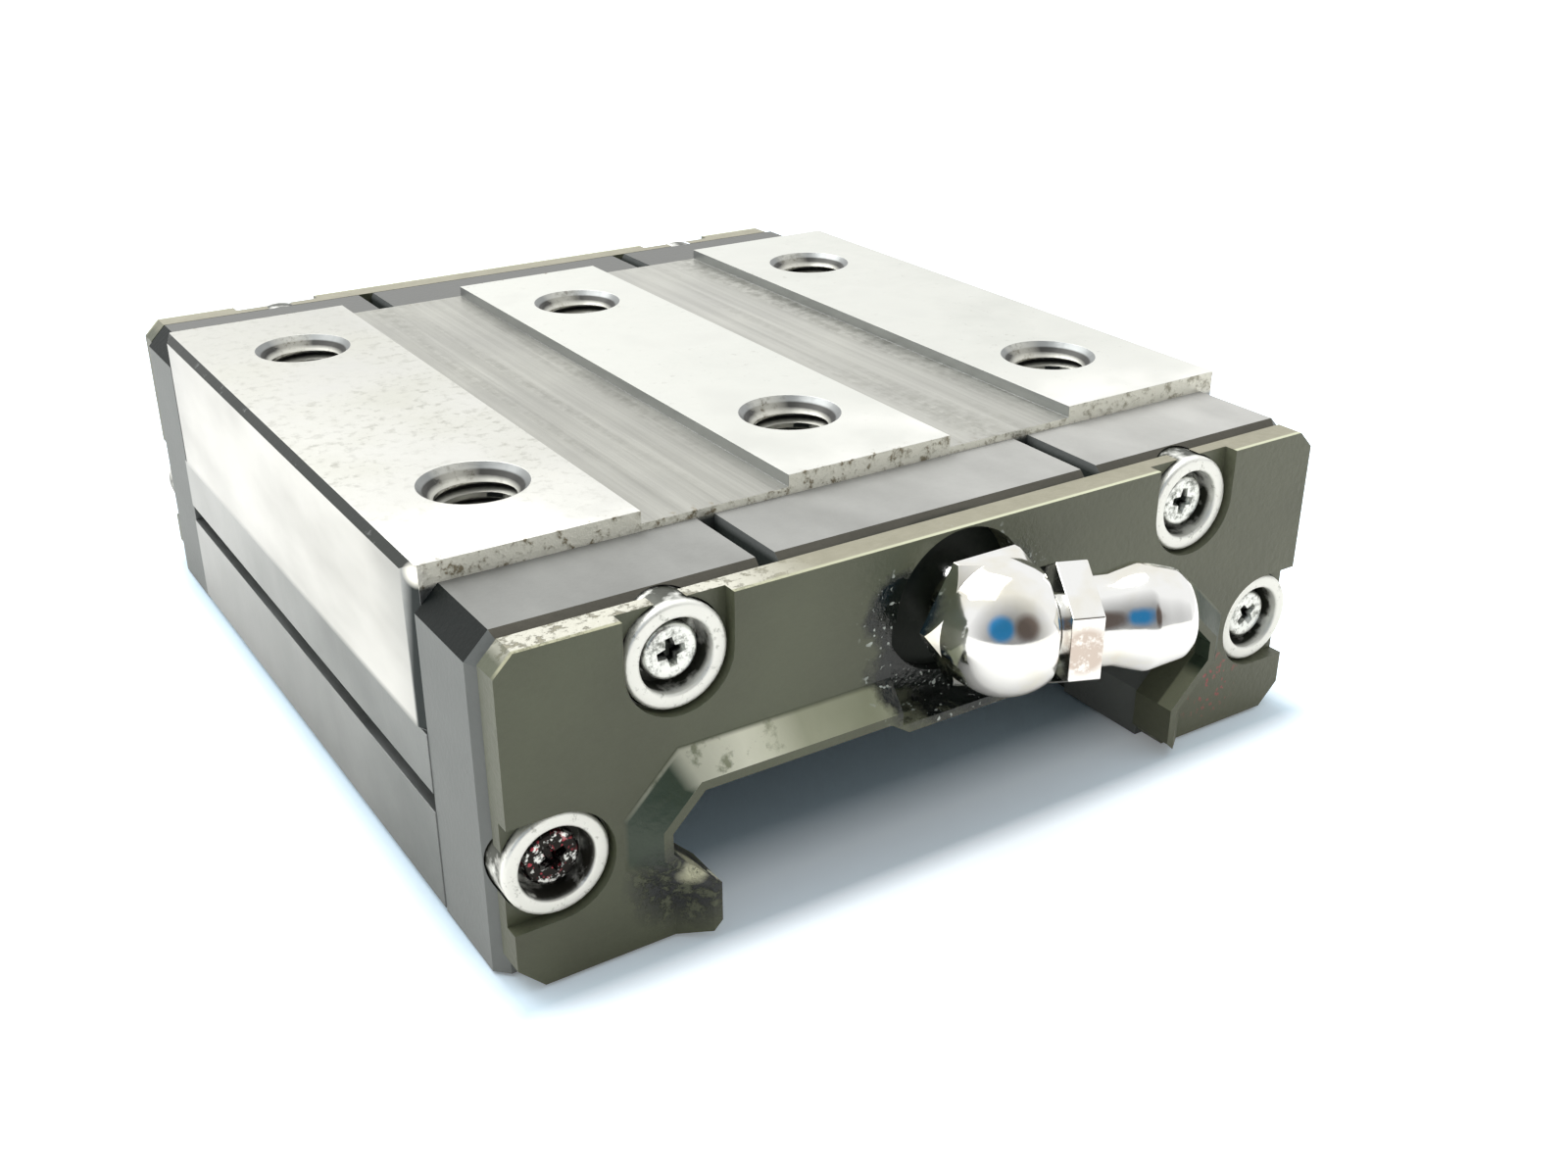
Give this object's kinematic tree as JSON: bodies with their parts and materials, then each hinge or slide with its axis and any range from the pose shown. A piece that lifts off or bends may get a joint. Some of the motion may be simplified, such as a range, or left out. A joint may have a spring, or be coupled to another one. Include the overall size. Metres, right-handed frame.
{
  "type": "linear bearing block",
  "caption": "Wide, low linear guide carriage: ground steel block on recirculating balls, moulded end caps, wiping end seals and an angled grease nipple; runs on a profiled rail.",
  "frame": {"origin": "middle of the top mounting face, half way between the end caps and across the block", "axes": "+Z out of the mounting face, +Y along the rail away from the grease nipple, +X across the rail towards the side the nipple points to"},
  "size_m": [0.062, 0.082, 0.023],
  "materials": {
    "ground_steel": "ground bright on the mounting pads and side bands, satin grey elsewhere",
    "cap_plastic": "dark grey moulded plastic, lightly mottled",
    "seal_rubber": "olive grey moulded rubber, oily",
    "zinc_collar": "bright zinc plating, slightly scuffed",
    "screw_steel": "zinc plated cross recess screws",
    "guide_plastic": "smooth moulded plastic",
    "retainer_plastic": "dark moulded plastic",
    "ball_steel": "polished bearing steel",
    "nipple_plating": "bright nickel plating",
    "spring_steel": "drawn spring wire",
    "plug_steel": "black oxide socket screw"
  },
  "bodies": {
    "carriage": {"front_end_cap": "cap_plastic", "front_end_seal": "seal_rubber", "front_left_lower_turn_guide": "guide_plastic", "front_left_upper_turn_guide": "guide_plastic", "front_right_lower_turn_guide": "guide_plastic", "front_right_upper_turn_guide": "guide_plastic", "front_seal_collars": "zinc_collar", "front_seal_screws": "screw_steel", "grease_nipple_elbow": "nipple_plating", "grease_nipple_spout": "nipple_plating", "left_lower_balls": "ball_steel", "left_lower_retainer": "retainer_plastic", "left_lower_return_tube": "guide_plastic", "left_side_retainer": "retainer_plastic", "left_top_retainer": "retainer_plastic", "left_upper_balls": "ball_steel", "left_upper_return_tube": "guide_plastic", "nipple_spring": "spring_steel", "rear_end_cap": "cap_plastic", "rear_end_seal": "seal_rubber", "rear_left_lower_turn_guide": "guide_plastic", "rear_left_upper_turn_guide": "guide_plastic", "rear_port_plug": "plug_steel", "rear_right_lower_turn_guide": "guide_plastic", "rear_right_upper_turn_guide": "guide_plastic", "rear_seal_collars": "zinc_collar", "rear_seal_screws": "screw_steel", "right_lower_balls": "ball_steel", "right_lower_retainer": "retainer_plastic", "right_lower_return_tube": "guide_plastic", "right_side_retainer": "retainer_plastic", "right_top_retainer": "retainer_plastic", "right_upper_balls": "ball_steel", "right_upper_return_tube": "guide_plastic", "steel_block": "ground_steel"},
    "valve_ball": {"nipple_valve_ball": "ball_steel"}
  },
  "joints": [
    {"name": "valve_ball_slide", "type": "slide", "parent": "carriage", "child": "valve_ball", "axis": [-0.9239, 0.3827, 0], "range_m": [0, 0.0006], "stiffness_N_per_m": 10, "springref_m": -0.002, "deforming": ["nipple_spring"]}
  ]
}
